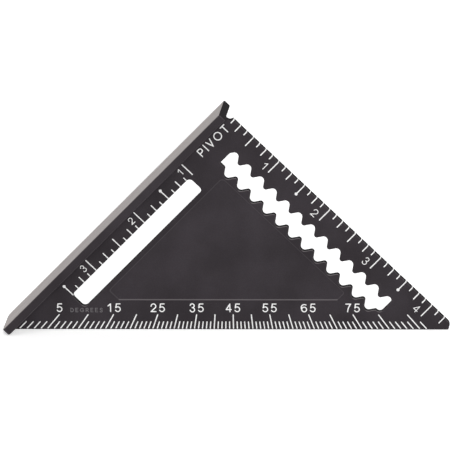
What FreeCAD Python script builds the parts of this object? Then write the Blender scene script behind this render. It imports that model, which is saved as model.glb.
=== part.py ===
import FreeCAD, Part
import math
import os

# Speed square for trim work: a cast triangular blade with a T-shaped fence along one leg.
# The blade stands upright with its long graduated edge on the ground and its front face
# towards -Y. The origin lies on the ground, under the middle of the whole tool.
#
# The blade is drawn flat first. There, a runs from the pivot corner along the graduated leg,
# b runs from the pivot corner along the fence, and depth runs through the blade from its
# middle plane towards the back. All lengths are in millimetres.

inch = 25.4
root_two = math.sqrt(2.0)
vector = FreeCAD.Vector

# Blade
leg = 4.5 * inch                 # both legs, from the pivot corner to the long edge
blade_thickness = 2.5
edge_break = 0.25                # small chamfer along outside edges and openings
tip_cut = 3.2                    # sharp tip removed at the free end of the graduated leg
tip_bulge = 0.5                  # how far the tip's end is bowed outwards

# Fence
fence_width = 20.0               # across, half in front of the blade and half behind it
fence_thickness = 3.0
fence_foot_round = 2.5           # corner rounding at the end beside the long edge
fence_head_round = 0.4           # corner rounding at the end beside the pivot
fence_edge_break = 0.3
fence_length = leg + fence_edge_break   # its broken foot corner ends level with the long edge
root_cove = 0.5                  # cast fillet between the fence and each face of the blade

# Pivot notch, a half-round seat in the leg edge beside the fence
notch_radius = 1.6
notch_offset = 1.02              # from the inner face of the fence to the notch centre

# Straight slot, parallel to the fence and graduated along its fence side
slot_setback = 6.75              # from the inner face of the fence to the slot
slot_width = 6.6
slot_start = 27.1                # distance along the fence where the slot begins
slot_foot_gap = 24.9             # from the slot's far end to the long edge, along the fence
slot_end = leg - slot_foot_gap
slot_corner = 1.6

# Scalloped slot, whose notches guide a pencil along the stock
scallop_pitch = inch / 4
scallop_first = inch / 2         # first notch on the leg side
scallop_tip_gap = inch           # least distance from the last notch to the leg's far end
scallop_flank = math.radians(56)
scallop_round = 1.5              # at the roots of the notches
scallop_tooth_round = 1.0        # at the tips of the teeth between them
scallop_near = 8.33              # leg edge to the notch roots on the leg side
scallop_far = 17.98              # leg edge to the notch roots on the other side
scallop_lead = 2.0               # from the slot's end near the pivot to the first notch
scallop_tail = 1.4               # from the last notch to the slot's end near the tip
scallop_ledge = 15.3             # leg edge to the short ledges at both ends
scallop_end_round = 0.8
scallop_head_round = 2.0         # broad corner beside the first notch
ledge_share = 0.75               # how much of the ledge near the tip its end corner may take

# Shallow panel sunk into both faces
panel_depth = 0.35
panel_side_run = 0.35            # how far its sloping sides come in
panel_fence_gap = 15.0           # inner face of the fence to the panel
panel_leg_gap = 18.6             # leg edge to the panel
panel_long_gap = 11.0            # long edge to the panel
panel_tip_blunt = 3.94           # width of its cut corner near the tip
panel_foot_blunt = 5.14          # width of its cut corner near the foot
panel_corner = 1.5

# Graduations and lettering: cut grooves filled flush with enamel
marking_depth = 0.25
tick_width = 0.42
eighth_tick = 1.65
quarter_tick = 2.9
half_tick = 4.15
inch_tick = 5.5
dot_diameter = 1.15              # round end of the 1-1/2 and 3-1/2 inch marks
lumber_widths = (1.5 * inch, 3.5 * inch)
leg_scale_tip_gap = inch / 4     # from the last leg mark to the leg's far end

leg_numeral_height = 3.2
slot_numeral_height = 2.75
numeral_stroke = 0.33
numeral_gap = 2.0                # between a numeral and its inch mark
leg_baseline = 6.15              # leg edge to the foot of the leg numerals
slot_baseline = 4.25             # fence to the foot of the slot numerals

pivot_word_height = 3.3
pivot_word_stroke = 0.44
pivot_word_gap = 0.295           # between letters, in letter heights
pivot_word_baseline = 4.85       # fence to the foot of the word
pivot_word_end = 3.6             # leg edge to the end of the word

degree_first = 1
degree_last = 86
numbered_degrees = range(5, 80, 10)
degree_edge_gap = 0.3            # long edge to the outer ends of the degree marks
degree_tick = 2.8
five_degree_tick = 5.45
degree_numeral_height = 3.35
degree_numeral_stroke = 0.46
degree_numeral_cell = 0.92       # digit spacing in numeral heights
degree_baseline = 6.5            # long edge to the foot of the degree numerals

degrees_word_height = 1.6
degrees_word_stroke = 0.26
degrees_word_lead = 2.4          # from the numeral 5 to the word
degrees_word_tail = 0.95         # from the word to the numeral 15

overshoot = 0.5                  # extra length of cutting tools beyond the surface they enter

# Letters and digits as strokes of a round cutter, in letter heights. Each stroke starts at a
# point; two more numbers are a straight run to a point, and four are an arc through the first
# point to the second.
glyph_strokes = {
    "1": [[(0.07, 0.70), (0.34, 0.93), (0.34, 0.07)]],
    "2": [[(0.09, 0.67), (0.34, 0.93, 0.56, 0.53), (0.07, 0.07), (0.61, 0.07)]],
    "3": [[(0.11, 0.77), (0.535, 0.725, 0.30, 0.515)],
          [(0.30, 0.515), (0.565, 0.295, 0.09, 0.23)]],
    "4": [[(0.47, 0.07), (0.47, 0.93)],
          [(0.47, 0.93), (0.07, 0.31), (0.62, 0.31)]],
    "5": [[(0.57, 0.93), (0.18, 0.93), (0.11, 0.50), (0.585, 0.34, 0.08, 0.22)]],
    "6": [[(0.07, 0.32), (0.33, 0.58, 0.59, 0.32)],
          [(0.59, 0.32), (0.33, 0.06, 0.07, 0.32)],
          [(0.07, 0.32), (0.19, 0.83, 0.54, 0.83)]],
    "7": [[(0.07, 0.93), (0.59, 0.93), (0.35, 0.53, 0.24, 0.07)]],
    "P": [[(0.08, 0.07), (0.08, 0.93)],
          [(0.08, 0.93), (0.36, 0.93), (0.59, 0.70, 0.36, 0.47), (0.08, 0.47)]],
    "I": [[(0.08, 0.07), (0.08, 0.93)]],
    "V": [[(0.07, 0.93), (0.37, 0.07), (0.67, 0.93)]],
    "O": [[(0.07, 0.50), (0.49, 0.93, 0.91, 0.50)],
          [(0.91, 0.50), (0.49, 0.07, 0.07, 0.50)]],
    "T": [[(0.07, 0.93), (0.63, 0.93)],
          [(0.35, 0.93), (0.35, 0.07)]],
    "D": [[(0.08, 0.07), (0.08, 0.93)],
          [(0.08, 0.93), (0.30, 0.93), (0.68, 0.50, 0.30, 0.07), (0.08, 0.07)]],
    "E": [[(0.56, 0.93), (0.08, 0.93), (0.08, 0.07), (0.58, 0.07)],
          [(0.08, 0.51), (0.50, 0.51)]],
    "G": [[(0.78, 0.72), (0.07, 0.52, 0.78, 0.24), (0.80, 0.46), (0.50, 0.46)]],
    "R": [[(0.08, 0.07), (0.08, 0.93)],
          [(0.08, 0.93), (0.36, 0.93), (0.59, 0.70, 0.36, 0.47), (0.08, 0.47)],
          [(0.36, 0.47), (0.62, 0.07)]],
    "S": [[(0.56, 0.76), (0.17, 0.86, 0.34, 0.50)],
          [(0.34, 0.50), (0.53, 0.15, 0.09, 0.23)]],
}

# Where the ground and the middle of the tool lie, seen from the pivot corner
left_reach = (fence_length + fence_thickness - fence_edge_break) / root_two
right_reach = leg / root_two - tip_cut + tip_bulge
middle_shift = (left_reach - right_reach) / 2
pivot_height = leg / root_two


def stand_up(shape):
    """Turn a shape drawn flat in a, b and depth so that it stands on the long edge."""
    half = 1 / root_two
    turn = FreeCAD.Matrix(half, -half, 0, middle_shift,
                          0, 0, 1, 0,
                          -half, -half, 0, pivot_height,
                          0, 0, 0, 1)
    upright = shape.copy()
    upright.transformShape(turn)
    return upright


def rounded_outline(corners):
    """Closed outline in the a, b plane from corners (a, b, radius)."""
    starts = []
    arcs = []
    ends = []
    count = len(corners)
    for i in range(count):
        a, b, radius = corners[i]
        before = corners[i - 1]
        after = corners[(i + 1) % count]
        corner = vector(a, b, 0)
        back = (vector(before[0], before[1], 0) - corner).normalize()
        forth = (vector(after[0], after[1], 0) - corner).normalize()
        if radius == 0:
            starts.append(corner)
            ends.append(corner)
            arcs.append(None)
            continue
        half_angle = back.getAngle(forth) / 2
        run = radius / math.tan(half_angle)
        inward = (back + forth).normalize()
        peak = corner + inward * (radius / math.sin(half_angle) - radius)
        starts.append(corner + back * run)
        ends.append(corner + forth * run)
        arcs.append(peak)
    edges = []
    for i in range(count):
        if arcs[i] is not None:
            edges.append(Part.Arc(starts[i], arcs[i], ends[i]).toShape())
        following = starts[(i + 1) % count]
        if ends[i].distanceToPoint(following) > 1e-6:
            edges.append(Part.LineSegment(ends[i], following).toShape())
    return Part.Wire(edges)


def cutter_through(outline, thickness):
    """Cutter of an opening: the outline carried right through a wall in the drawing plane."""
    reach = thickness + 2 * overshoot
    cutter = Part.Face(outline).extrude(vector(0, 0, reach))
    cutter.translate(vector(0, 0, -reach / 2))
    return cutter


def blade_outline(start):
    """Triangle from a = start, with the graduated leg at b = 0 and a blunt tip."""
    tip_on_leg = vector(leg - root_two * tip_cut, 0, 0)
    tip_on_long_edge = vector(leg - tip_cut / root_two, tip_cut / root_two, 0)
    outward = vector(1, -1, 0).normalize() * tip_bulge
    tip_middle = (tip_on_leg + tip_on_long_edge) * 0.5 + outward
    return Part.Wire([
        Part.LineSegment(vector(start, 0, 0), tip_on_leg).toShape(),
        Part.Arc(tip_on_leg, tip_middle, tip_on_long_edge).toShape(),
        Part.LineSegment(tip_on_long_edge, vector(start, leg - start, 0)).toShape(),
        Part.LineSegment(vector(start, leg - start, 0), vector(start, 0, 0)).toShape(),
    ])


def pivot_notch(thickness):
    """Half-round seat in the leg edge, up against the fence."""
    circle = Part.Circle(vector(notch_offset, 0, 0), vector(0, 0, 1), notch_radius)
    return cutter_through(Part.Wire(circle.toShape()), thickness)


def straight_slot():
    """Slot parallel to the fence."""
    far = slot_setback + slot_width
    outline = rounded_outline([
        (slot_setback, slot_start, slot_corner),
        (far, slot_start, slot_corner),
        (far, slot_end, slot_corner),
        (slot_setback, slot_end, slot_corner),
    ])
    return cutter_through(outline, blade_thickness)


def scallop_notches():
    """How many notches the leg side of the scalloped slot has room for."""
    room = leg - scallop_tip_gap - scallop_first
    return math.floor(room / scallop_pitch + 1e-6) + 1


def scalloped_slot():
    """Wavy slot along the graduated leg: its two sides are notched half a pitch apart."""
    slope = math.tan(scallop_flank)
    past_round = scallop_round * (1 / math.cos(scallop_flank) - 1)
    slope_left = scallop_tail / math.cos(scallop_flank) - scallop_round * slope
    tail_round = min(scallop_end_round, slope_left / math.tan(math.pi / 4 - scallop_flank / 2))
    sharp_depth = scallop_pitch / 2 * slope
    near_root = scallop_near - past_round
    near_tip = near_root + sharp_depth
    far_root = scallop_far + past_round
    far_tip = far_root - sharp_depth
    notches = scallop_notches()
    last = scallop_first + (notches - 1) * scallop_pitch
    left = scallop_first - scallop_lead
    right = last + scallop_tail

    corners = [(left, near_root + scallop_lead * slope, scallop_head_round)]
    for k in range(notches):
        root = scallop_first + k * scallop_pitch
        corners.append((root, near_root, scallop_round))
        if k < notches - 1:
            corners.append((root + scallop_pitch / 2, near_tip, scallop_tooth_round))
    corners.append((right, near_root + scallop_tail * slope, tail_round))

    ledge_run = (far_root - scallop_ledge) / slope
    last_far = last - scallop_pitch / 2
    ledge = right - last_far - ledge_run
    corner_round = min(2 * scallop_end_round, ledge_share * ledge)
    ledge_round = min(scallop_end_round,
                      (1 - ledge_share) * ledge / math.tan(scallop_flank / 2))
    corners.append((right, scallop_ledge, corner_round))
    corners.append((right - ledge, scallop_ledge, ledge_round))
    for k in range(notches - 1):
        root = last_far - k * scallop_pitch
        corners.append((root, far_root, scallop_round))
        if k < notches - 2:
            corners.append((root - scallop_pitch / 2, far_tip, scallop_tooth_round))
    first_far = scallop_first + scallop_pitch / 2
    corners.append((first_far - ledge_run, scallop_ledge, scallop_end_round))
    corners.append((left, scallop_ledge, scallop_end_round / 2))
    return cutter_through(rounded_outline(corners), blade_thickness)


def panel_outline(inset):
    """Edge of the sunk panel, moved inwards by inset."""
    rim_line = leg - root_two * panel_long_gap
    near_a = panel_fence_gap + inset
    near_b = panel_leg_gap + inset
    long_line = rim_line - root_two * inset
    tip = rim_line - panel_leg_gap - panel_tip_blunt - inset
    foot = rim_line - panel_fence_gap - panel_foot_blunt - inset
    return rounded_outline([
        (near_a, near_b, panel_corner),
        (tip, near_b, panel_corner / 2),
        (tip, long_line - tip, panel_corner / 2),
        (long_line - foot, foot, panel_corner / 2),
        (near_a, foot, panel_corner / 2),
    ])


def sunk_panel(side):
    """Shallow pocket with sloping sides in the front (side -1) or back (side 1) face."""
    face = side * blade_thickness / 2
    rim = panel_outline(0)
    rim.translate(vector(0, 0, face))
    floor = panel_outline(panel_side_run)
    floor.translate(vector(0, 0, face - side * panel_depth))
    return Part.makeLoft([rim, floor], True, True)


def break_edges(solid, size, wanted):
    """Chamfer the edges of a solid that wanted picks."""
    edges = [edge for edge in solid.Edges if wanted(edge)]
    return solid.makeChamfer(size, edges)


def blade_blank():
    """Blade from where the coves end, with its openings and panels but no graduations."""
    plate = Part.Face(blade_outline(root_cove)).extrude(vector(0, 0, blade_thickness))
    plate.translate(vector(0, 0, -blade_thickness / 2))
    plate = plate.cut([pivot_notch(blade_thickness), straight_slot(), scalloped_slot()])

    notch_end = notch_offset + notch_radius
    tip_start = leg - root_two * tip_cut

    def on_a_face_and_clear_of_ends(edge):
        box = edge.BoundBox
        on_face = box.ZLength < 1e-6 and abs(abs(box.ZMin) - blade_thickness / 2) < 1e-6
        return on_face and box.XMax > notch_end + 1e-6 and box.XMin < tip_start - 1e-6

    plate = break_edges(plate, edge_break, on_a_face_and_clear_of_ends)
    return plate.cut([sunk_panel(-1), sunk_panel(1)])


def straight_stroke_face(start, end, width):
    """Round-ended strip from start to end."""
    along = (end - start).normalize() * (width / 2)
    across = vector(-along.y, along.x, 0)
    corners = [start - along - across, end + along - across,
               end + along + across, start - along + across]
    return Part.Face(rounded_outline([(c.x, c.y, width / 2) for c in corners]))


def stroke_face(points, width):
    """Path of a round cutter of the given width, as a face in the drawing plane."""
    here = vector(points[0][0], points[0][1], 0)
    if len(points) == 2 and len(points[1]) == 2:
        return straight_stroke_face(here, vector(points[1][0], points[1][1], 0), width)
    edges = []
    for move in points[1:]:
        there = vector(move[-2], move[-1], 0)
        if len(move) == 4:
            edges.append(Part.Arc(here, vector(move[0], move[1], 0), there).toShape())
        else:
            edges.append(Part.LineSegment(here, there).toShape())
        here = there
    return Part.Wire(edges).makeOffset2D(width / 2, 0, True, False)


def groove(points, width):
    """Round-ended cutter for one stroke: it enters a face at height 0 from above."""
    cutter = stroke_face(points, width).extrude(vector(0, 0, marking_depth + overshoot))
    cutter.translate(vector(0, 0, -marking_depth))
    return cutter


def lay_on_face(cutter, origin, reading, side):
    """Place a cutter drawn in its own plane onto the front (side -1) or back (side 1) face."""
    outward = vector(0, 0, side)
    up = outward.cross(reading)
    turn = FreeCAD.Matrix(reading.x, up.x, outward.x, origin.x,
                          reading.y, up.y, outward.y, origin.y,
                          reading.z, up.z, outward.z, side * blade_thickness / 2,
                          0, 0, 0, 1)
    placed = cutter.copy()
    placed.transformShape(turn)
    return placed


along_leg = vector(1, 0, 0)
towards_leg = vector(0, -1, 0)
along_long_edge = vector(1, -1, 0).normalize()


def glyph(character, height, width):
    """One letter or digit of the given height, starting at the origin."""
    strokes = []
    for stroke in glyph_strokes[character]:
        scaled = [tuple(number * height for number in point) for point in stroke]
        strokes.append(groove(scaled, width))
    if len(strokes) == 1:
        return strokes[0]
    return strokes[0].fuse(strokes[1:]).removeSplitter()


def glyph_width(character):
    """Width of a letter's strokes in letter heights, from the left of its cell."""
    reach = max(number for stroke in glyph_strokes[character]
                for point in stroke for number in point[::2])
    return reach + 0.07


def number_cutters(text, height, width):
    """Digits on even spacing, centred on the origin, and the length of the whole number."""
    cell = degree_numeral_cell * height
    length = cell * len(text)
    digits = []
    for position, character in enumerate(text):
        digit = glyph(character, height, width)
        margin = (cell - glyph_width(character) * height) / 2
        digit.translate(vector(position * cell - length / 2 + margin, 0, 0))
        digits.append(digit)
    return digits


def word_cutters(text, height, width, gap):
    """Letters set side by side from the origin, and the length of the word."""
    letters = []
    pen = 0.0
    for character in text:
        letter = glyph(character, height, width)
        letter.translate(vector(pen, 0, 0))
        letters.append(letter)
        pen += (glyph_width(character) + gap) * height
    return letters, pen - gap * height


def mark_length(place):
    """Length of the inch-scale mark at a distance from the pivot."""
    eighths = round(place * 8 / inch)
    if eighths % 8 == 0:
        return inch_tick
    if eighths % 4 == 0:
        return half_tick
    if eighths % 2 == 0:
        return quarter_tick
    return eighth_tick


def scale_places(start, end):
    """Every eighth of an inch from start to end."""
    first = math.ceil(start * 8 / inch - 1e-6)
    last = math.floor(end * 8 / inch + 1e-6)
    return [k * inch / 8 for k in range(first, last + 1)]


def is_lumber_width(place):
    return any(abs(place - width) < 1e-6 for width in lumber_widths)


def plain_places(start, end):
    return [place for place in scale_places(start, end) if not is_lumber_width(place)]


def lumber_places(start, end):
    return [place for place in scale_places(start, end) if is_lumber_width(place)]


def inch_places(start, end):
    """Each whole inch on a scale, as its numeral and its place."""
    return [(round(place / inch), place) for place in scale_places(start, end)
            if mark_length(place) == inch_tick]


leg_scale = (inch / 8, leg - leg_scale_tip_gap)
slot_scale = (inch, slot_end)


def leg_mark(place, side):
    """Mark on the graduated leg, running in from its edge."""
    reach = mark_length(place) - tick_width / 2
    cutter = groove([(0, -overshoot), (0, reach)], tick_width)
    reading = along_leg * side
    return lay_on_face(cutter, vector(place, 0, 0), reading, side)


def slot_mark(place):
    """Mark on the fence side of the straight slot, running towards the fence."""
    lead = slot_corner if place > slot_start else -tick_width / 2
    reach = mark_length(place) - tick_width / 2
    cutter = groove([(0, -lead), (0, reach)], tick_width)
    return lay_on_face(cutter, vector(slot_setback, place, 0), towards_leg, -1)


def dot(origin, reading):
    """Round end of a mark, half_tick away from where the mark starts."""
    circle = Part.Wire(Part.Circle(vector(0, half_tick, 0), vector(0, 0, 1),
                                   dot_diameter / 2).toShape())
    cutter = Part.Face(circle).extrude(vector(0, 0, marking_depth + overshoot))
    cutter.translate(vector(0, 0, -marking_depth))
    return lay_on_face(cutter, origin, reading, -1)


def leg_tick_cutters(side):
    return [leg_mark(place, side) for place in plain_places(*leg_scale)]


def slot_tick_cutters():
    return [slot_mark(place) for place in plain_places(*slot_scale)]


def lumber_mark_cutters():
    """Dotted marks at the 1-1/2 and 3-1/2 inch widths of framing lumber."""
    marks = []
    for width in lumber_places(*leg_scale):
        on_leg = dot(vector(width, 0, 0), along_leg * -1)
        marks.append(leg_mark(width, -1).fuse(on_leg).removeSplitter())
    for width in lumber_places(*slot_scale):
        on_slot = dot(vector(slot_setback, width, 0), towards_leg)
        marks.append(slot_mark(width).fuse(on_slot).removeSplitter())
    return marks


def numerals_beside_marks(places, height, origin_of, reading, side, before):
    """Inch numerals whose ends stand numeral_gap away from their marks."""
    numerals = []
    for number, place in places:
        character = str(number)
        digit = glyph(character, height, numeral_stroke)
        width = glyph_width(character) * height
        shift = -numeral_gap - width if before else numeral_gap
        digit.translate(vector(shift, 0, 0))
        numerals.append(lay_on_face(digit, origin_of(place), reading, side))
    return numerals


def leg_numeral_cutters(side):
    """Inch numerals with their heads towards the leg edge."""
    reading = along_leg * -side
    return numerals_beside_marks(inch_places(*leg_scale), leg_numeral_height,
                                 lambda place: vector(place, leg_baseline, 0),
                                 reading, side, side < 0)


def slot_numeral_cutters():
    """Inch numerals with their heads towards the fence."""
    return numerals_beside_marks(inch_places(*slot_scale), slot_numeral_height,
                                 lambda place: vector(slot_baseline, place, 0),
                                 towards_leg, -1, True)


def pivot_word_cutters():
    letters, length = word_cutters("PIVOT", pivot_word_height, pivot_word_stroke,
                                   pivot_word_gap)
    origin = vector(pivot_word_baseline, pivot_word_end + length, 0)
    return [lay_on_face(letter, origin, towards_leg, -1) for letter in letters]


def long_edge_point(along, inward):
    """Point at a distance along the long edge from its middle, and inwards from it."""
    middle = leg / 2 - inward / root_two
    return vector(middle + along / root_two, middle - along / root_two, 0)


def ray_point(degrees, inward):
    """Where the ray from the pivot at an angle to the fence comes within inward of the edge."""
    angle = math.radians(degrees)
    reach = (leg - root_two * inward) / (math.sin(angle) + math.cos(angle))
    return vector(reach * math.sin(angle), reach * math.cos(angle), 0)


def degree_tick_cutters(degrees, length):
    """Marks on the rays from the pivot, ending just inside the long edge."""
    marks = []
    for degree in degrees:
        outer = ray_point(degree, degree_edge_gap + tick_width / 2)
        inner = ray_point(degree, degree_edge_gap + length - tick_width / 2)
        line = [(outer.x, -outer.y), (inner.x, -inner.y)]
        cutter = groove(line, tick_width)
        marks.append(lay_on_face(cutter, vector(0, 0, 0), along_leg, -1))
    return marks


def single_degrees():
    return [d for d in range(degree_first, degree_last + 1) if d % 5]


def five_degrees():
    return [d for d in range(degree_first, degree_last + 1) if d % 5 == 0]


def degree_numeral_middle(degree):
    """Where the numeral's mark ends, along the long edge from its middle."""
    end = ray_point(degree, degree_edge_gap + five_degree_tick)
    return (end.x - end.y) / root_two


def degree_numeral_cutters():
    """Numerals at 5, 15, 25 ... degrees, each centred over the inner end of its mark."""
    numerals = []
    for degree in numbered_degrees:
        origin = long_edge_point(degree_numeral_middle(degree), degree_baseline)
        for digit in number_cutters(str(degree), degree_numeral_height, degree_numeral_stroke):
            numerals.append(lay_on_face(digit, origin, along_long_edge, -1))
    return numerals


def degrees_word_cutters():
    """The word degrees, its letters spread out between the first two numerals."""
    word = "DEGREES"
    before, after = numbered_degrees[:2]
    cell = degree_numeral_cell * degree_numeral_height
    start = degree_numeral_middle(before) + cell * len(str(before)) / 2 + degrees_word_lead
    end = degree_numeral_middle(after) - cell * len(str(after)) / 2 - degrees_word_tail
    room = (end - start) / degrees_word_height
    gap = (room - sum(glyph_width(letter) for letter in word)) / (len(word) - 1)
    letters, length = word_cutters(word, degrees_word_height, degrees_word_stroke, gap)
    origin = long_edge_point(start, degree_baseline)
    return [lay_on_face(letter, origin, along_long_edge, -1) for letter in letters]


def fence():
    """T-shaped heel: a flat bar with a low root that the blade continues."""
    half = fence_width / 2
    foot = fence_foot_round
    head = fence_head_round
    outline = rounded_outline([(0, -half, head), (fence_length, -half, foot),
                               (fence_length, half, foot), (0, half, head)])
    bar = Part.Face(outline).extrude(vector(0, 0, fence_thickness))
    bar = break_edges(bar, fence_edge_break, lambda edge: edge.BoundBox.ZLength < 1e-6)
    upright = FreeCAD.Matrix(0, 0, 1, -fence_thickness,
                             1, 0, 0, 0,
                             0, 1, 0, 0,
                             0, 0, 0, 1)
    bar.transformShape(upright)
    return bar.fuse(fence_root()).removeSplitter()


def fence_root():
    """Root of the blade on the fence, with a cove on each side, open at the pivot notch."""
    face = blade_thickness / 2
    bow = root_cove * (1 - 1 / root_two)
    width = face + root_cove

    def cove(side):
        return Part.Arc(vector(0, 0, side * width), vector(bow, 0, side * (face + bow)),
                        vector(root_cove, 0, side * face)).toShape()

    profile = Part.Wire([
        cove(1),
        Part.LineSegment(vector(root_cove, 0, face), vector(root_cove, 0, -face)).toShape(),
        cove(-1),
        Part.LineSegment(vector(0, 0, -width), vector(0, 0, width)).toShape(),
    ])
    root = Part.Face(profile).extrude(vector(0, leg, 0))
    inside = Part.Face(blade_outline(0)).extrude(vector(0, 0, 2 * width))
    inside.translate(vector(0, 0, -width))
    return root.common(inside).cut(pivot_notch(2 * width))


def main():
    os.makedirs("parts", exist_ok=True)
    blank = blade_blank()
    markings = {
        "leg_inch_ticks": leg_tick_cutters(-1),
        "leg_inch_numerals": leg_numeral_cutters(-1),
        "slot_inch_ticks": slot_tick_cutters(),
        "slot_inch_numerals": slot_numeral_cutters(),
        "lumber_width_marks": lumber_mark_cutters(),
        "pivot_word": pivot_word_cutters(),
        "single_degree_ticks": degree_tick_cutters(single_degrees(), degree_tick),
        "five_degree_ticks": degree_tick_cutters(five_degrees(), five_degree_tick),
        "degree_numerals": degree_numeral_cutters(),
        "degrees_word": degrees_word_cutters(),
        "back_leg_ticks": leg_tick_cutters(1),
        "back_leg_numerals": leg_numeral_cutters(1),
    }
    every_cutter = [cutter for cutters in markings.values() for cutter in cutters]
    parts = {"fence": fence(), "blade": blank.cut(every_cutter)}
    for name, cutters in markings.items():
        parts[name] = Part.makeCompound(blank.common(cutters).Solids)
    for name, shape in parts.items():
        placed = stand_up(shape)
        placed.exportStep("parts/" + name + ".step")
        print(name, "solids", len(placed.Solids), "volume", round(placed.Volume, 2))


main()
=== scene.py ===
# %% [markdown]
# # A speed square for trim work
#
# A speed square is a small cast aluminium triangle. A T-shaped fence hooks over the edge of a
# board, and the blade carries inch and degree scales, a straight slot and a scalloped slot for
# the point of a pencil. The casting is coated black, the outer face of the fence is then milled
# bare, and the scales are grooves filled with white enamel.
#
# The measured model is loaded first and kept as the frame. Every piece below is made in that
# frame, in metres: +X runs along the long edge, +Z is up and the front face looks towards -Y.

# %% Load the frame
import math

import bmesh
import bpy
from mathutils import Matrix, Vector


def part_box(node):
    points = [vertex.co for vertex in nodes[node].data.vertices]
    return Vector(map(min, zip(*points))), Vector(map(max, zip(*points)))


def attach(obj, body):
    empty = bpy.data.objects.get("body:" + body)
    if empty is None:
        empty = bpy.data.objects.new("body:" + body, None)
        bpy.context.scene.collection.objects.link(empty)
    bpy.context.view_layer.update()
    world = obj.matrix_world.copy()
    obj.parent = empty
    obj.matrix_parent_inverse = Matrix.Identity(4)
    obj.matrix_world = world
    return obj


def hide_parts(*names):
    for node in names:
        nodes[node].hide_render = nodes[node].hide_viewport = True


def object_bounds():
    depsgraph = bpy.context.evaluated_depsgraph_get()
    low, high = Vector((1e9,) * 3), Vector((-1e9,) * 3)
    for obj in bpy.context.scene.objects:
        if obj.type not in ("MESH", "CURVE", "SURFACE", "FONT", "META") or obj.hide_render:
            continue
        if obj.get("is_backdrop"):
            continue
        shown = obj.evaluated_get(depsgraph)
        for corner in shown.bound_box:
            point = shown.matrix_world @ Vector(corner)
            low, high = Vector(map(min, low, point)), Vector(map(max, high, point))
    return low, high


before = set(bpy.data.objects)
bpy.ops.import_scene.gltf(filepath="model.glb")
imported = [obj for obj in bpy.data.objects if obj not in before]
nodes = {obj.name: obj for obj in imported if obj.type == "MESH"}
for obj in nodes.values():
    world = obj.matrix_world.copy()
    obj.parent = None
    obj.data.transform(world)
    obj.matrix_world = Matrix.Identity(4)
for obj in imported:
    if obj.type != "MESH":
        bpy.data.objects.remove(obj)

cad_low, cad_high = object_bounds()
mm = 0.001


def in_mm(lengths):
    """Lengths in metres as rounded millimetres, for printing."""
    return [round(length / mm, 2) for length in lengths]


print("overall size, mm:", in_mm(cad_high - cad_low))

# %% [markdown]
# ## Sizes
#
# The drawing of the tool is flat: `a` runs along the graduated leg, `b` along the fence, both
# from the pivot corner. A designer would keep these sizes in one sheet, so they stand together
# here. The two places that tie the drawing to the frame are read from the frame itself: the
# blade's thickness and where the pivot corner lies.

# %% Driving sizes, in metres
inch = 25.4 * mm
root_two = math.sqrt(2.0)

leg = 4.5 * inch
fence_thickness = 3.0 * mm
face_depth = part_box("blade")[1].y             # from the middle plane to either face
pivot_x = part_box("fence")[0].x + (leg + fence_thickness) / root_two

edge_break = 0.25 * mm                        # chamfer along outside edges and openings
slot_setback = 6.75 * mm
groove_depth = 0.25 * mm
tick_width = 0.42 * mm
tick_lengths = {"Eighth": 1.65 * mm, "Quarter": 2.9 * mm, "Half": 4.15 * mm, "Inch": 5.5 * mm}
degree_gap = 0.3 * mm
degree_length = 2.8 * mm
five_degree_length = 5.45 * mm

print("face depth and pivot x, mm:", in_mm((face_depth, pivot_x)))


# %% [markdown]
# ## From the drawing to the frame
#
# Scales are easiest to make lying flat, with their edge along local X, their marks running
# along local Y and the open side of the groove along local Z. One matrix stands each of them
# up on the blade. Where that matrix mirrors, as it must for a scale that reads the other way
# round, the faces are turned so that they still point outwards.

# %% Places on the blade
along_leg = Vector((1, 0, -1)).normalized()
along_fence = Vector((-1, 0, -1)).normalized()
pivot = Vector((pivot_x, 0, leg / root_two))
front = Vector((0, -1, 0))
back = -front


def on_blade(a, b, outward, along, inward):
    """Matrix from a flat scale to the blade: its origin at a, b and its three directions."""
    origin = pivot + along_leg * a + along_fence * b + outward * face_depth
    turn = Matrix((along, inward, outward)).transposed().to_4x4()
    turn.translation = origin
    return turn


def stand_up(mesh, matrix):
    """Move a flat scale's mesh to its place, with its faces still outwards."""
    mesh.transform(matrix)
    if matrix.determinant() < 0:
        mesh.flip_normals()


print("pivot corner, mm:", in_mm(pivot))


# %% [markdown]
# ## Node graphs as expressions
#
# Shader maths reads best as Python. `Wire` wraps one output socket, and its operators add Math
# nodes. `Graph.node` adds any other node: its settings first, then the values or wires of its
# sockets. The same two classes write the shaders and the Geometry Nodes trees.

# %% Wires and graphs
class Wire:
    """An output socket that can be used in an expression."""

    def __init__(self, graph, socket):
        self.graph = graph
        self.socket = socket

    def out(self, name):
        """Another output of the same node."""
        return Wire(self.graph, self.socket.node.outputs[name])

    def maths(self, operation, *others):
        """A Math node whose first value is this wire."""
        return self.graph.maths(operation, self, *others)

    def __add__(self, other): return self.maths("ADD", other)
    def __sub__(self, other): return self.maths("SUBTRACT", other)
    def __rsub__(self, other): return self.graph.maths("SUBTRACT", other, self)
    def __mul__(self, other): return self.maths("MULTIPLY", other)
    def __truediv__(self, other): return self.maths("DIVIDE", other)
    def __mod__(self, other): return self.maths("FLOORED_MODULO", other)
    def __gt__(self, other): return self.maths("GREATER_THAN", other)
    def __lt__(self, other): return self.maths("LESS_THAN", other)

    __radd__ = __add__
    __rmul__ = __mul__


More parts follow.
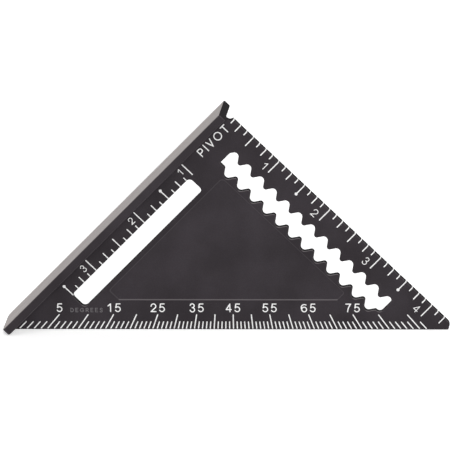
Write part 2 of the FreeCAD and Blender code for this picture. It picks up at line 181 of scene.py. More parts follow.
class Graph:
    """A node tree that grows by one method."""

    def __init__(self, tree):
        self.tree = tree

    def node(self, kind, settings=None, inputs=None, output=0):
        """A new node, as a wire from one of its outputs."""
        made = self.tree.nodes.new(kind)
        for name, value in (settings or {}).items():
            if name == "stops":
                self.set_stops(made.color_ramp, value)
            else:
                setattr(made, name, value)
        for key, value in (inputs or {}).items():
            if isinstance(value, Wire):
                self.tree.links.new(value.socket, made.inputs[key])
            else:
                made.inputs[key].default_value = value
        return Wire(self, made.outputs[output]) if made.outputs else None

    def maths(self, operation, *values):
        settings = {"operation": operation}
        return self.node("ShaderNodeMath", settings, dict(enumerate(values)))

    def set_stops(self, ramp, stops):
        while len(ramp.elements) < len(stops):
            ramp.elements.new(1.0)
        for element, (position, colour) in zip(ramp.elements, stops):
            element.position = position
            element.color = (*colour, 1.0)


print("ready:", Wire.__doc__, Graph.__doc__)

# %% [markdown]
# ## Helpers for finishes
#
# Every finish on this tool is built from the same few moves: a noise field, a soft step between
# two values, a blend of two colours, and a bump. Each could be drawn out in nodes every time,
# but short functions leave only the numbers that make one finish differ from another. Patterns
# are sized in waves per metre, because Object coordinates are in metres, and a pattern on them
# stays on its piece from every side.

# %% Shader helpers
def noise(graph, coordinates, per_metre, detail=2.0, rough=0.5):
    """A noise field from 0 to 1 that varies `per_metre` times along a metre."""
    inputs = {"Vector": coordinates, "Scale": per_metre, "Detail": detail, "Roughness": rough}
    return graph.node("ShaderNodeTexNoise", None, inputs)


def smooth_step(graph, value, low, high):
    """0 below `low`, 1 above `high`, and a soft rise between them."""
    inputs = {"Value": value, "From Min": low, "From Max": high}
    return graph.node("ShaderNodeMapRange", {"interpolation_type": "SMOOTHSTEP"}, inputs)


def mix_colours(graph, factor, first, second):
    """A blend of two colours, each a wire or three numbers."""
    first, second = (colour if isinstance(colour, Wire) else (*colour, 1.0)
                     for colour in (first, second))
    inputs = {0: factor, 6: first, 7: second}
    return graph.node("ShaderNodeMix", {"data_type": "RGBA"}, inputs, output=2)


def colour_ramp(graph, stops, tone):
    return graph.node("ShaderNodeValToRGB", {"stops": stops}, {"Fac": tone})


def bump(graph, height, strength, distance):
    inputs = {"Strength": strength, "Distance": distance, "Height": height}
    return graph.node("ShaderNodeBump", None, inputs)


def split(graph, vector):
    """The X, Y and Z of a vector, each as a wire."""
    parts = graph.node("ShaderNodeSeparateXYZ", None, {0: vector})
    return parts.out("X"), parts.out("Y"), parts.out("Z")


def start_material(name):
    """A new material with its graph, its Principled shader and its Object coordinates."""
    material = bpy.data.materials.new(name)
    material.use_nodes = True
    graph = Graph(material.node_tree)
    shader = material.node_tree.nodes["Principled BSDF"]
    coordinates = graph.node("ShaderNodeTexCoord").out("Object")
    return material, graph, shader, coordinates


def finish_material(material, shader, specular, varying):
    """Link what varies over the surface. The specular level is the same all over."""
    for name, wire in varying.items():
        material.node_tree.links.new(wire.socket, shader.inputs[name])
    shader.inputs["Specular IOR Level"].default_value = specular
    print(material.name, "nodes:", len(material.node_tree.nodes))
    return material


print("helpers for materials are ready")

# %% [markdown]
# ## Where hands rub, and where shade and highlights are painted
#
# On the real tool the corners are rubbed a little lighter by handling. That could be painted by
# hand, but here it comes from comparing the surface's normal with a rounded one, so it follows
# every edge by itself.
#
# The narrow walls between the faces are darkened with painted shade and made dull, while the
# chamfers that look upwards are lightened with a painted highlight.
# Both are found from the true normal, which on this tool points along Y on a face and across Y
# on a wall.

# %% Masks from the normal
def rubbed_edges(graph, radius):
    """0 on open faces, rising to 1 on corners sharper than the rounding radius."""
    rounded = graph.node("ShaderNodeBevel", {"samples": 6}, {"Radius": radius})
    normal = graph.node("ShaderNodeNewGeometry").out("Normal")
    cosine = graph.node("ShaderNodeVectorMath", {"operation": "DOT_PRODUCT"},
                        {0: rounded, 1: normal}, output="Value")
    return smooth_step(graph, 1 - cosine, 0.02, 0.20)


def wall_shade_and_slope_highlight(graph):
    """Two masks: the walls through the thickness, for painted shade, and the slopes between
    them and a face, for a painted highlight.

    A slope that looks upwards gets the painted highlight in full, as it would be lit most from
    above."""
    _, y, z = split(graph, graph.node("ShaderNodeNewGeometry").out("True Normal"))
    facing = y.maths("ABSOLUTE")
    walls = 1 - smooth_step(graph, facing, 0.10, 0.30)
    slopes = smooth_step(graph, facing, 0.45, 0.60) * (1 - smooth_step(graph, facing, 0.80, 0.95))
    upwards = smooth_step(graph, z, 0.48, 0.68)
    return walls, slopes * (0.2 + upwards * 0.8)


print("masks for corners, walls and slopes are ready")

# %% [markdown]
# ## The black coating
#
# The casting is sprayed with a thin satin coating, charcoal with a trace of purple. It could be
# one dark colour with one roughness, but real coating has a fine grain and slow cloudy patches
# where it went on thicker. The grain and the clouds are two noise fields, a third gives the
# slight orange peel of sprayed paint, and the sunk panel in the middle is a touch lighter. The
# masks from the normal then add painted shade on the walls, a painted highlight on the upward
# slopes, and rubbing on the corners where the real one is worn.

# %% Coating material
coating_tones = [
    (0.10, (0.0270, 0.0226, 0.0259)),
    (0.50, (0.0355, 0.0303, 0.0345)),
    (0.95, (0.0480, 0.0410, 0.0475)),
]
# Painted shade: the walls through the thickness are darkened to this colour.
painted_wall_shade = (0.0080, 0.0068, 0.0074)
# Painted highlight: the chamfers and slopes that look upwards are lightened to this colour.
painted_slope_highlight = (0.205, 0.187, 0.195)
rubbed_coat = (0.14, 0.134, 0.134)
coating_specular = 0.06
rubbing_radius = 0.30 * mm


def coating(graph, coordinates, wall_shade_share=1.0):
    """Colour, roughness and height of the coating, with painted shade on the walls that the mask
    keeps.
    """
    clouds = noise(graph, coordinates, per_metre=55.0, detail=3.0)
    grain = noise(graph, coordinates, per_metre=2600.0, detail=3.0, rough=0.6)
    orange_peel = noise(graph, coordinates, per_metre=900.0, detail=1.0)
    depth = split(graph, coordinates)[1].maths("ABSOLUTE")
    in_panel = 1 - smooth_step(graph, depth, face_depth - 0.30 * mm, face_depth - 0.10 * mm)
    tone = smooth_step(graph, clouds, 0.3, 0.7) * 0.45 + grain * 0.60 + in_panel * 0.12
    colour = colour_ramp(graph, coating_tones, tone)
    side, slope = wall_shade_and_slope_highlight(graph)
    side = side * wall_shade_share
    worn = rubbed_edges(graph, rubbing_radius) * smooth_step(graph, grain, 0.35, 0.7)
    # Painted shade on the walls, then a painted highlight on the slopes that look upwards.
    colour = mix_colours(graph, side * 0.85, colour, painted_wall_shade)
    colour = mix_colours(graph, slope * 0.55, colour, painted_slope_highlight)
    colour = mix_colours(graph, worn * 0.35, colour, rubbed_coat)
    roughness = 0.40 + (grain - 0.5) * 0.12 + (clouds - 0.5) * 0.10 + side * 0.55
    height = orange_peel * 0.6 + grain * 0.4
    return colour, roughness, height


def make_black_coating():
    material, graph, shader, coordinates = start_material("satin_black_coating")
    colour, roughness, height = coating(graph, coordinates)
    return finish_material(material, shader, coating_specular, {
        "Base Color": colour,
        "Roughness": roughness,
        "Normal": bump(graph, height, strength=0.35, distance=0.02 * mm),
    })


black_coating = make_black_coating()

# %% [markdown]
# ## The milled face of the fence
#
# After coating, a cutter skims the fence's outer face flat and bare. It leaves fine lines along
# the fence, a few brighter scratches and broad passes, and the bare metal sparkles a little. Two
# materials on one mesh would need the face split off, so one material covers the fence and a
# mask on the drawing's `a` coordinate turns coating into metal just at the outermost plane. The
# lines are noise stretched far along `b`. The fence's inner face is broad, so a second mask on
# `a` keeps the painted shade of the walls off it, and it gets the coat of the blade's faces.

# %% Milled aluminium
milled_tones = [
    (0.30, (0.170, 0.151, 0.147)),
    (0.55, (0.250, 0.222, 0.217)),
    (0.80, (0.350, 0.312, 0.305)),
]
scratched_metal = (0.40, 0.366, 0.358)
stretch = 0.04                       # marks of the cutter are 25 times as long as they are wide


def drawing_coordinates(graph, coordinates):
    """The drawing's a, its b and the depth, from Object coordinates."""
    x, y, z = split(graph, coordinates)
    sum_ab = leg - z * root_two
    difference = (x - pivot_x) * root_two
    return (sum_ab + difference) * 0.5, (sum_ab - difference) * 0.5, y


def milled_metal(graph, coordinates, b, depth):
    """Colour, roughness and fine lines of the bare face."""
    stretched = graph.node("ShaderNodeCombineXYZ", None, {"X": b * stretch, "Y": depth, "Z": 0.0})
    lines = noise(graph, stretched, per_metre=2400.0, detail=3.0, rough=0.7)
    passes = noise(graph, stretched, per_metre=330.0)
    ridges = noise(graph, stretched, per_metre=1300.0, detail=1.0)
    scratches = smooth_step(graph, ridges, 0.62, 0.70)
    smudges = noise(graph, coordinates, per_metre=130.0, detail=3.0, rough=0.6)
    sparkle = noise(graph, coordinates, per_metre=1900.0, rough=0.7)
    tone = lines * 0.45 + passes * 0.15 + smudges * 0.2 + sparkle * 0.4
    metal = colour_ramp(graph, milled_tones, tone)
    metal = mix_colours(graph, scratches * 0.5, metal, scratched_metal)
    return metal, 0.36 + lines * 0.26 - scratches * 0.08, lines


def make_fence_material():
    material, graph, shader, coordinates = start_material("coating_and_milled_face")
    a, b, depth = drawing_coordinates(graph, coordinates)
    outwards = a * -1                # from the fence's inner face to its outer one
    # This mask keeps the painted shade of the walls off the fence's inner face.
    off_inner_face = smooth_step(graph, outwards, 0.02 * mm, 0.10 * mm)
    milled = smooth_step(graph, outwards, fence_thickness - 0.06 * mm, fence_thickness - 0.02 * mm)
    colour, roughness, height = coating(graph, coordinates, off_inner_face)
    metal, metal_roughness, lines = milled_metal(graph, coordinates, b, depth)
    height = height * (1 - milled) * 0.02 + lines * milled * 0.012
    return finish_material(material, shader, coating_specular, {
        "Base Color": mix_colours(graph, milled, colour, metal),
        "Roughness": roughness + (metal_roughness - roughness) * milled,
        "Metallic": milled * 0.85,
        "Normal": bump(graph, height, strength=0.6, distance=1.0 * mm),
    })


fence_material = make_fence_material()

# %% [markdown]
# ## Enamel
#
# The grooves are wiped full of enamel. It dries with a slightly uneven skin and picks up a
# little dirt, so white enamel is never one flat white. A broad noise shifts its tone, a fine
# one adds grain, and rare high points of a third one become faint specks. The small word beside
# the degree numerals is filled in dark grey. Where the black coating laps over the enamel, a
# face attribute named `lapped` turns it black.

# %% Enamel materials
lap_colour = (0.037, 0.0316, 0.036)
enamel_specular = 0.4


def make_enamel(name, dark, light, dirt):
    material, graph, shader, coordinates = start_material(name)
    skin = noise(graph, coordinates, per_metre=420.0, detail=3.0, rough=0.6)
    grain = noise(graph, coordinates, per_metre=4200.0)
    dust = noise(graph, coordinates, per_metre=1500.0, detail=3.0, rough=0.7)
    specks = smooth_step(graph, dust, 0.66, 0.74)
    lapped = graph.node("ShaderNodeAttribute", {"attribute_name": "lapped"}, output="Fac")
    tone = smooth_step(graph, skin * 0.7 + grain * 0.3, 0.35, 0.65)
    colour = mix_colours(graph, tone, dark, light)
    colour = mix_colours(graph, specks * 0.35, colour, dirt)
    return finish_material(material, shader, enamel_specular, {
        "Base Color": mix_colours(graph, lapped, colour, lap_colour),
        "Roughness": 0.40 + skin * 0.2,
        "Normal": bump(graph, skin + grain * 0.4, strength=0.4, distance=0.02 * mm),
    })


enamels = {
    "white_enamel": make_enamel("white_enamel_fill", dark=(0.84, 0.835, 0.835),
                                light=(0.92, 0.92, 0.915), dirt=(0.42, 0.40, 0.39)),
    "grey_enamel": make_enamel("grey_enamel_fill", dark=(0.115, 0.107, 0.113),
                               light=(0.152, 0.143, 0.150), dirt=(0.05, 0.045, 0.05)),
}

# %% [markdown]
# ## Objects and plain meshes
#
# Three small jobs come back for every piece: link an object to the scene, turn a bmesh into a
# mesh, and turn what modifiers make into a mesh that needs no modifier. Live modifiers would
# work in a render too, but a part for a library is best handed on as plain meshes.

# %% Object helpers
def add_object(name, data):
    """A new object in the scene."""
    made = bpy.data.objects.new(name, data)
    bpy.context.scene.collection.objects.link(made)
    return made


def plain_mesh(shape, name):
    """Turn a bmesh into a mesh and free it."""
    mesh = bpy.data.meshes.new(name)
    shape.to_mesh(mesh)
    shape.free()
    return mesh


def apply_modifiers(holder):
    """The mesh that an object's modifiers make. The modifiers are taken off."""
    evaluated = holder.evaluated_get(bpy.context.evaluated_depsgraph_get())
    mesh = bpy.data.meshes.new_from_object(evaluated)
    holder.modifiers.clear()
    return mesh


print("helpers for objects are ready")

# %% [markdown]
# ## The casting
#
# Blade and fence are one casting on the real tool. The measured solids already hold the slots,
# the sunk panels, the coves and the grooves, so their meshes are copied instead of modelled
# again. The copy is stitched together, its flat facets are joined, and its normals are weighted
# by area. That makes each narrow chamfer shade as the rounded corner of a coated casting.

# %% Casting pieces
stitch = 0.002 * mm                  # corners nearer than this become one
smallest = 0.001 * mm                # shorter edges are taken out
flat = math.radians(0.3)             # facets that meet at less than this are one flat face
sharp = math.radians(50.0)           # edges that fold more than this stay crisp


def merged_copy(node_name):
    """A stitched copy of a measured mesh, with flat facets joined, as a bmesh."""
    shape = bmesh.new()
    shape.from_mesh(nodes[node_name].data)
    bmesh.ops.remove_doubles(shape, verts=shape.verts, dist=stitch)
    bmesh.ops.dissolve_degenerate(shape, dist=smallest, edges=shape.edges)
    bmesh.ops.dissolve_limit(shape, angle_limit=flat, verts=shape.verts, edges=shape.edges)
    return shape


def weigh_normals(piece):
    """Put area-weighted normals into a piece's mesh."""
    modifier = piece.modifiers.new("weigh_normals", "WEIGHTED_NORMAL")
    modifier.keep_sharp = True
    piece.data = apply_modifiers(piece)


def finish_piece(name, mesh, material, replaced):
    """Make a mesh a named piece of the tool, attached to the root, and hide the measured parts it
    stands for.
    """
    mesh.name = name
    mesh.materials.clear()
    mesh.materials.append(material)
    mesh.shade_smooth()
    mesh.set_sharp_from_angle(angle=sharp)
    piece = add_object(name, mesh)
    weigh_normals(piece)
    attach(piece, "root")
    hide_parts(*replaced)
    print(name, "faces:", len(piece.data.polygons))


def make_casting_piece(node_name, piece_name, material):
    mesh = plain_mesh(merged_copy(node_name), piece_name)
    finish_piece(piece_name, mesh, material, [node_name])


make_casting_piece("blade", "blade_casting", black_coating)
make_casting_piece("fence", "fence_casting", fence_material)

# %% [markdown]
# ## Enamel in numerals and words
#
# Numerals and letters are each different, so nothing is gained by building them from a rule:
# the measured solids are copied again. Wet enamel clings to the groove's walls and sinks in the
# middle as it dries. The copy's open faces are therefore lowered a hair below the blade and
# inset into a shallow dish. The black coating laps a little over the enamel, so a first, narrow
# inset leaves a ring that the face attribute marks. Thin strokes get a narrower lap.

# %% Numerals and words
rim_drop = 0.012 * mm
dish_drop = 0.045 * mm
dish_inset = 0.07 * mm
coating_lap = 0.03 * mm
open_face = 0.99                     # cosine above which a face looks straight out of its groove


def sink(faces, drop):
    """Move the corners of some faces against a direction."""
    for vertex in {vertex for face in faces for vertex in face.verts}:
        vertex.co -= drop


def make_lettering(node_name, piece_name, slot, outward, lap):
    shape = merged_copy(node_name)
    lapped = shape.faces.layers.float.new("lapped")
    shape.normal_update()
    tops = [face for face in shape.faces if face.normal.dot(outward) > open_face]
    sink(tops, outward * rim_drop)
    ring = bmesh.ops.inset_region(shape, faces=tops, thickness=lap, use_even_offset=False)
    for face in ring["faces"]:
        face[lapped] = 1.0
    bmesh.ops.inset_region(shape, faces=tops, thickness=dish_inset, use_even_offset=False)
    sink(tops, outward * (dish_drop - rim_drop))
    mesh = plain_mesh(shape, piece_name)
    finish_piece(piece_name, mesh, enamels[slot], [node_name])


for lettering in (
        ("leg_inch_numerals", "leg_numerals", "white_enamel", front, coating_lap),
        ("slot_inch_numerals", "slot_numerals", "white_enamel", front, coating_lap / 2),
        ("degree_numerals", "degree_numerals_enamel", "white_enamel", front, coating_lap),
        ("pivot_word", "pivot_word_enamel", "white_enamel", front, coating_lap / 2),
        ("lumber_width_marks", "lumber_marks", "white_enamel", front, coating_lap / 4),
        ("back_leg_numerals", "back_numerals", "white_enamel", back, coating_lap),
        ("degrees_word", "degrees_word_enamel", "grey_enamel", front, coating_lap / 2)):
    make_lettering(*lettering)

# %% [markdown]
# ## Graduations with Geometry Nodes
#
# A scale is a rule: a mark every eighth of an inch, whose length depends on how many eighths
# have gone by. Modelling nearly 170 marks by hand would be slow and easy to get wrong, so two
# trees grow them. The trees share a few helpers: one begins a tree with named inputs, and the
# others wrap the nodes that move points, store a value on them and read it back.

# %% Helpers for the trees
def begin_tree(name, sizes):
    """A Geometry Nodes tree with named inputs: its graph and a wire for each input."""
    tree = bpy.data.node_groups.new(name, "GeometryNodeTree")
    tree.interface.new_socket("Geometry", in_out="INPUT", socket_type="NodeSocketGeometry")
    tree.interface.new_socket("Geometry", in_out="OUTPUT", socket_type="NodeSocketGeometry")
    kinds = {int: "NodeSocketInt", float: "NodeSocketFloat"}
    for label, value in sizes.items():
        kind = kinds.get(type(value), "NodeSocketMaterial")
        tree.interface.new_socket(label, in_out="INPUT", socket_type=kind)
    graph = Graph(tree)
    entry = graph.node("NodeGroupInput")
    return graph, {label: entry.out(label) for label in sizes}


def vector(graph, x=0.0, y=0.0, z=0.0):
    return graph.node("ShaderNodeCombineXYZ", None, {"X": x, "Y": y, "Z": z})


def move(graph, geometry, **where):
    """Set Position, with any of its Selection, Offset and Position inputs."""
    return graph.node("GeometryNodeSetPosition", None, {"Geometry": geometry, **where})


def store(graph, geometry, name, value, kind="FLOAT"):
    """Keep a value on every point, under a name."""
    settings = {"data_type": kind, "domain": "POINT"}
    return graph.node("GeometryNodeStoreNamedAttribute", settings,
                      {"Geometry": geometry, "Name": name, "Value": value})


def stored(graph, name, kind="FLOAT"):
    """Read a kept value back."""
    return graph.node("GeometryNodeInputNamedAttribute", {"data_type": kind}, {"Name": name})


def join(graph, *parts):
    joined = graph.node("GeometryNodeJoinGeometry")
    for part in parts:
        graph.tree.links.new(part.socket, joined.socket.node.inputs[0])
    return joined


print("helpers for the trees are ready")

# %% [markdown]
# ## One mark
#
# A real mark is a cut with round ends that enamel fills. The tree builds it as a round plug
# with a dished top, whose corners on the inner side carry the stored value `inner`. Later those
# corners alone are drawn out to the mark's length, so its end stays a true half circle
# whatever the length. A box scaled to each length would be simpler, but its ends would be
# square or stretched.

# %% Enamel plug and wall skin
plug_sides = 16
plug_grow = 1.02                     # lets the flat sides reach the round groove
dish_share = 0.68                    # width of the dish as a share of the plug
wall_skin = 0.01 * mm


def enamel_plug(graph, size, edge_slant=None):
    """Round plug whose outer side touches y = 0, with a dished top just under z = 0.

    With an edge slant, its outer half is squared off and leans back with the chamfer."""
    radius = size["Width"] * 0.5
    disc = graph.node("GeometryNodeMeshCircle", {"fill_type": "NGON"},
                      {"Vertices": plug_sides, "Radius": radius * plug_grow})
    half_step = graph.node("GeometryNodeTransform", None,
                           {"Geometry": disc, "Rotation": (0.0, 0.0, math.pi / plug_sides)})
    floor = move(graph, half_step, Offset=vector(graph, 0.0, radius, size["Depth"] * -1))
    wall = graph.node("GeometryNodeExtrudeMesh", None,
                      {"Mesh": floor, "Offset Scale": size["Depth"] - rim_drop})
    dish = graph.node("GeometryNodeExtrudeMesh", None,
                      {"Mesh": wall, "Selection": wall.out("Top"), "Offset Scale": 0.0})
    shrunk = graph.node("GeometryNodeScaleElements", None,
                        {"Geometry": dish, "Selection": dish.out("Top"), "Scale": dish_share})
    sunk = move(graph, shrunk, Selection=dish.out("Top"),
                Offset=(0.0, 0.0, rim_drop - dish_drop))
    bottom = graph.node("GeometryNodeFlipFaces", None, {"Mesh": floor})
    plug = graph.node("GeometryNodeMergeByDistance", None,
                      {"Geometry": join(graph, sunk, bottom), "Distance": smallest})
    x, y, z = split(graph, graph.node("GeometryNodeInputPosition"))
    plug = store(graph, plug, "inner", y > radius)
    if edge_slant is None:
        return plug
    lean = (z > size["Depth"] * -0.5) * edge_slant
    return move(graph, plug, Selection=1 - stored(graph, "inner"),
                Position=vector(graph, x, lean, z))


def wall_patch(graph, size):
    """Thin skin of enamel that carries a mark on over the wall, down to the middle plane."""
    run = size["Wall"]
    skin = graph.node("GeometryNodeMeshCube", None,
                      {"Size": vector(graph, size["Width"], 2 * wall_skin, run)})
    low = size["Depth"] * -1 - run * 0.5
    return graph.node("GeometryNodeTransform", None,
                      {"Geometry": skin, "Translation": vector(graph, 0.0, 0.0, low)})


print("plug sides:", plug_sides, "and wall skin, mm:", in_mm([wall_skin]))

# %% [markdown]
# ## From points to marks
#
# Both trees end in the same way. A plug is set on every point of a line, the instances are made
# real, and the inner corners move by the vector `reach` that their point carried. Only then is
# the enamel given, because a library part can't keep instances.

# %% Plant and finish
def plant(graph, points, plug, **choices):
    """Instance on Points, with its Selection and Rotation inputs where they are given."""
    inputs = {"Points": points, "Instance": plug, **choices}
    return graph.node("GeometryNodeInstanceOnPoints", None, inputs)


def end_tree(graph, instances, material):
    """Realize the plugs, draw their inner halves out and give them their enamel."""
    real = graph.node("GeometryNodeRealizeInstances", None,
                      {"Geometry": join(graph, *instances)})
    reach = graph.node("ShaderNodeVectorMath", {"operation": "SCALE"},
                       {0: stored(graph, "reach", "FLOAT_VECTOR"),
                        "Scale": stored(graph, "inner")})
    drawn = move(graph, real, Offset=reach)
    painted = graph.node("GeometryNodeSetMaterial", None,
                         {"Geometry": drawn, "Material": material})
    graph.node("NodeGroupOutput", None, {"Geometry": painted})
    print(graph.tree.name, "nodes:", len(graph.tree.nodes))
    return graph.tree


print("helpers for planting are ready")

# %% [markdown]
# ## The inch scale
#
# The marks stand on a line of points, one for each eighth. Whole inches, halves and quarters
# are picked out by the remainder of the count, and the two lumber widths, 1-1/2 and 3-1/2 in,
# are left to their own dotted marks. A table of lengths would do as well, but the remainder
# works for a scale of any length.
#
# On the leg the enamel runs on over the edge, so that a mark can be seen from above. A plug at
# the edge leans back with the chamfer, and a thin skin carries it down the wall to the middle
# plane, where it meets the mark of the other face. The slot's scale has no such skin, and its
# first mark, which stands past the slot's rounded end, counts as free and keeps two round ends.

# %% Inch scale tree
inch_sizes = {"First": 1, "Count": 34, "Free": 0, "Wraps": 1, "Pitch": inch / 8,
              "Width": tick_width, "Depth": groove_depth, "Edge Slant": edge_break - rim_drop,
              "Wall": face_depth - groove_depth, **tick_lengths, "Enamel": None}
longer_marks = ((2, "Eighth", "Quarter"), (4, "Quarter", "Half"), (8, "Half", "Inch"))
lumber_every, lumber_at = 16, 12     # 12 and 28 eighths are 1-1/2 in and 3-1/2 in


def build_inch_tree():
    graph, size = begin_tree("inch_scale", inch_sizes)
    eighths = graph.node("GeometryNodeInputIndex") + size["First"]
    length = size["Eighth"]
    for every, shorter, longer in longer_marks:
        falls = (eighths % every) < 0.5
        length = length + (size[longer] - size[shorter]) * falls
    line = graph.node("GeometryNodeMeshLine", {"mode": "OFFSET"}, {
        "Count": size["Count"],
        "Start Location": vector(graph, size["First"] * size["Pitch"]),
        "Offset": vector(graph, size["Pitch"]),
    })
    line = store(graph, line, "reach", vector(graph, 0.0, length - size["Width"]),
                 "FLOAT_VECTOR")
    line = store(graph, line, "free", graph.node("GeometryNodeInputIndex") < size["Free"])
    wraps = (1 - stored(graph, "free")) * size["Wraps"]
    over_edge = plant(graph, line, wall_patch(graph, size), Selection=wraps)
    lumber = (eighths % lumber_every).maths("COMPARE", lumber_at, 0.1)
    line = graph.node("GeometryNodeDeleteGeometry", None,
                      {"Geometry": line, "Selection": lumber})
    at_edge = plant(graph, line, enamel_plug(graph, size, size["Edge Slant"]),
                    Selection=1 - stored(graph, "free"))
    clear = plant(graph, line, enamel_plug(graph, size), Selection=stored(graph, "free"))
    return end_tree(graph, [at_edge, clear, over_edge], size["Enamel"])


inch_tree = build_inch_tree()

# %% [markdown]
# ## The degree scale
#
# The marks lie on rays from the pivot corner and end just inside the long edge. The ray at an
# angle to the fence meets a line parallel to the long edge at a distance that follows from the
# sine and cosine of that angle, so the tree needs no table of places, and the marks spread
# towards both ends as they do on the real tool.

# %% Degree scale tree
degree_sizes = {"First": 1, "Count": 86, "Leg": leg, "Edge Gap": degree_gap,
                "Width": tick_width, "Depth": groove_depth, "Degree": degree_length,
                "Five Degrees": five_degree_length, "Enamel": None}


def build_degree_tree():
    graph, size = begin_tree("degree_scale", degree_sizes)
    degrees = graph.node("GeometryNodeInputIndex") + size["First"]
    angle = degrees * math.radians(1)
    sine, cosine = angle.maths("SINE"), angle.maths("COSINE")
    radius = size["Width"] * 0.5
    fifth = (degrees % 5) < 0.5
    length = size["Degree"] + (size["Five Degrees"] - size["Degree"]) * fifth

    def along_ray(inward):
        return (size["Leg"] - inward * root_two) / (sine + cosine)

    outer = along_ray(size["Edge Gap"] + radius)
    inner = along_ray(size["Edge Gap"] + length - radius)
    start = outer + radius
    reach = inner - outer
    line = graph.node("GeometryNodeMeshLine", {"mode": "OFFSET"}, {"Count": size["Count"]})
    line = store(graph, line, "reach", vector(graph, sine * reach, cosine * reach),
                 "FLOAT_VECTOR")
    line = store(graph, line, "turn", math.pi - angle)
    line = move(graph, line, Position=vector(graph, sine * start, cosine * start))
    rotation = vector(graph, 0.0, 0.0, stored(graph, "turn"))
    marks = plant(graph, line, enamel_plug(graph, size), Rotation=rotation)
    return end_tree(graph, [marks], size["Enamel"])


degree_tree = build_degree_tree()

# %% [markdown]
# ## Growing the scales
#
# Each scale is an empty mesh with one of the trees on it. Its inputs are set by the sockets'
# identifiers, the result is made a plain mesh, and that mesh is stood up on the blade. The leg
# scale reads towards the tip, the slot scale along the fence, and a third copy of the leg scale
# serves the back of the blade.

# %% Grow the scales
def grow_scale(piece_name, tree, sizes, place, replaced):
    holder = add_object(piece_name + "_holder", bpy.data.meshes.new("empty"))
    modifier = holder.modifiers.new("scale", "NODES")
    modifier.node_group = tree
    enamel = enamels["white_enamel"]
    sizes = {**sizes, "Enamel": enamel}
    for item in tree.interface.items_tree:
        if item.in_out == "INPUT" and item.name in sizes:
            modifier[item.identifier] = sizes[item.name]
    mesh = apply_modifiers(holder)
    bpy.data.objects.remove(holder)
    for name in ("inner", "reach", "free", "turn"):
        if name in mesh.attributes:
            mesh.attributes.remove(mesh.attributes[name])
    stand_up(mesh, place)
    finish_piece(piece_name, mesh, enamel, replaced)


leg_edge = on_blade(0.0, 0.0, front, along_leg, along_fence)
slot_edge = on_blade(slot_setback, 0.0, front, along_fence, -along_leg)
back_edge = on_blade(0.0, 0.0, back, along_leg, along_fence)
slot_sizes = {**inch_sizes, "First": 8, "Count": 21, "Free": 1, "Wraps": 0}

grow_scale("leg_marks", inch_tree, inch_sizes, leg_edge, ["leg_inch_ticks"])
grow_scale("slot_marks", inch_tree, slot_sizes, slot_edge, ["slot_inch_ticks"])
grow_scale("degree_marks", degree_tree, degree_sizes, leg_edge,
           ["single_degree_ticks", "five_degree_ticks"])
grow_scale("back_marks", inch_tree, inch_sizes, back_edge, ["back_leg_ticks"])

# %% [markdown]
# ## Floor
#
# The tool stands on a white sweep, as in a catalogue. More light on a grey floor would also
# turn it white, but would burn out the enamel as well. So the floor is plain and pale, and seen
# directly it glows a little up to white, while the tool still drops a soft shadow on it.

# %% White sweep
white = (1.0, 1.0, 1.0, 1.0)
sweep_colour = (0.86, 0.86, 0.86, 1.0)
sweep_glow = 0.55
sweep_half_width = 20.0


def light_path_mask(graph):
    """1 for rays that look straight at the white sweep, also by mirror or glass."""
    path = graph.node("ShaderNodeLightPath")
    seen = path.out("Is Camera Ray") + path.out("Is Glossy Ray") + path.out("Is Transmission Ray")
    return seen > 0.5


def make_sweep_material():
    material = bpy.data.materials.new("white_sweep")
    material.use_nodes = True
    material.node_tree.nodes.clear()
    graph = Graph(material.node_tree)
    matt = graph.node("ShaderNodeBsdfDiffuse", None, {"Color": sweep_colour})
    glow = graph.node("ShaderNodeEmission", None,
                      {"Color": white, "Strength": light_path_mask(graph) * sweep_glow})
    both = graph.node("ShaderNodeAddShader", None, {0: matt, 1: glow})
    graph.node("ShaderNodeOutputMaterial", None, {"Surface": both})
    return material


def make_floor():
    mesh = bpy.data.meshes.new("floor")
    signs = ((-1, -1), (1, -1), (1, 1), (-1, 1))
    corners = [(x * sweep_half_width, y * sweep_half_width, 0) for x, y in signs]
    mesh.from_pydata(corners, [], [(0, 1, 2, 3)])
    mesh.materials.append(make_sweep_material())
    floor = add_object("floor", mesh)
    floor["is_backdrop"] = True
    print("floor, m:", [round(side, 1) for side in floor.dimensions])


make_floor()

# %% [markdown]
# ## Light
#
# Two wide suns, one low in front and one behind, light both faces and the whole floor evenly,
# where a lamp close by would leave a bright pool. A small lamp from above picks out the upper
# edges. The room itself adds a dim, even light and looks white.

# %% Lamps and world
room_strength = 0.22
seen_strength = 1.0


def direction(azimuth, elevation):
    """Unit vector from the tool to a place around it. 0 degrees is straight in front."""
    return Vector((math.sin(azimuth) * math.cos(elevation),
                   -math.cos(azimuth) * math.cos(elevation), math.sin(elevation)))


def aim_along(holder, towards):
    """Turn a lamp or a camera so that it looks back along a direction."""
    holder.rotation_mode = "QUATERNION"
    holder.rotation_quaternion = towards.to_track_quat("Z", "Y")


def make_sun(name, azimuth, elevation, softness, strength):
    """A lamp so far away that it lights the whole floor evenly. Angles are in degrees."""
    lamp = bpy.data.lights.new(name, "SUN")
    lamp.energy = strength
    lamp.angle = math.radians(softness)
    aim_along(add_object(name, lamp), direction(math.radians(azimuth), math.radians(elevation)))


def make_lamp(name, place, aim, size, watts):
    lamp = bpy.data.lights.new(name, "AREA")
    lamp.shape = "DISK"
    lamp.size = size
    lamp.energy = watts
    holder = add_object(name, lamp)
    holder.location = place
    aim_along(holder, place - aim)


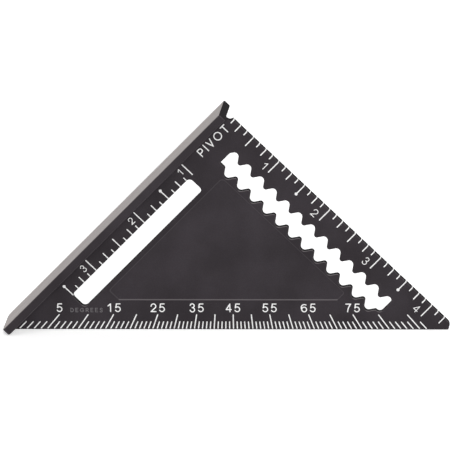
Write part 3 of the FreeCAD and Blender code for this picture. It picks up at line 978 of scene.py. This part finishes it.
def make_world():
    world = bpy.data.worlds.new("studio")
    bpy.context.scene.world = world
    world.use_nodes = True
    world.node_tree.nodes.clear()
    graph = Graph(world.node_tree)
    room, seen = (graph.node("ShaderNodeBackground", None, {"Color": white, "Strength": strength})
                  for strength in (room_strength, seen_strength))
    both = graph.node("ShaderNodeMixShader", None,
                      {0: light_path_mask(graph), 1: room, 2: seen})
    graph.node("ShaderNodeOutputWorld", None, {"Surface": both})


middle = Vector((0.0, 0.0, (cad_low.z + cad_high.z) / 2))
make_sun("front_lamp", azimuth=20.0, elevation=20.0, softness=35.0, strength=1.85)
make_sun("back_lamp", azimuth=170.0, elevation=30.0, softness=40.0, strength=1.35)
make_lamp("top_lamp", Vector((0.05, -0.45, 0.95)), middle, size=0.5, watts=2.2)
make_world()
print("lamps:", [lamp.name for lamp in bpy.data.lights])

# %% [markdown]
# ## Camera
#
# The tool is looked at from a little above and a little to the right of its front. A camera
# close by would spread the near end of the blade, so a long lens from far away keeps the
# triangle's edges true. A slight roll sets the long edge nearly level in the view.

# %% Camera
camera_distance = 5.081
camera_azimuth = math.radians(6.0)
camera_elevation = math.radians(16.15)
camera_roll = math.radians(-1.65)
aim_right = 0.25 * mm
aim_height = 38.94 * mm
lens_length, sensor_width = 1128.2, 36.0
far_limit = 100.0


def make_camera():
    data = bpy.data.cameras.new("camera")
    data.lens = lens_length
    data.sensor_width = sensor_width
    data.clip_end = far_limit
    camera = add_object("camera", data)
    towards = direction(camera_azimuth, camera_elevation)
    camera.location = Vector((aim_right, 0.0, aim_height)) + towards * camera_distance
    aim_along(camera, towards)
    roll = Matrix.Rotation(camera_roll, 4, "Z").to_quaternion()
    camera.rotation_quaternion = camera.rotation_quaternion @ roll
    bpy.context.scene.camera = camera
    print("camera at, m:", [round(v, 3) for v in camera.location])


make_camera()
bpy.context.scene.view_settings.view_transform = "Standard"

# %% [markdown]
# ## Size of the dressed tool
#
# The dressed tool must fill the same box as the measured one. Both boxes are written down.

# %% Sizes and finish
low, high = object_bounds()
print("dressed size, mm:", in_mm(high - low))
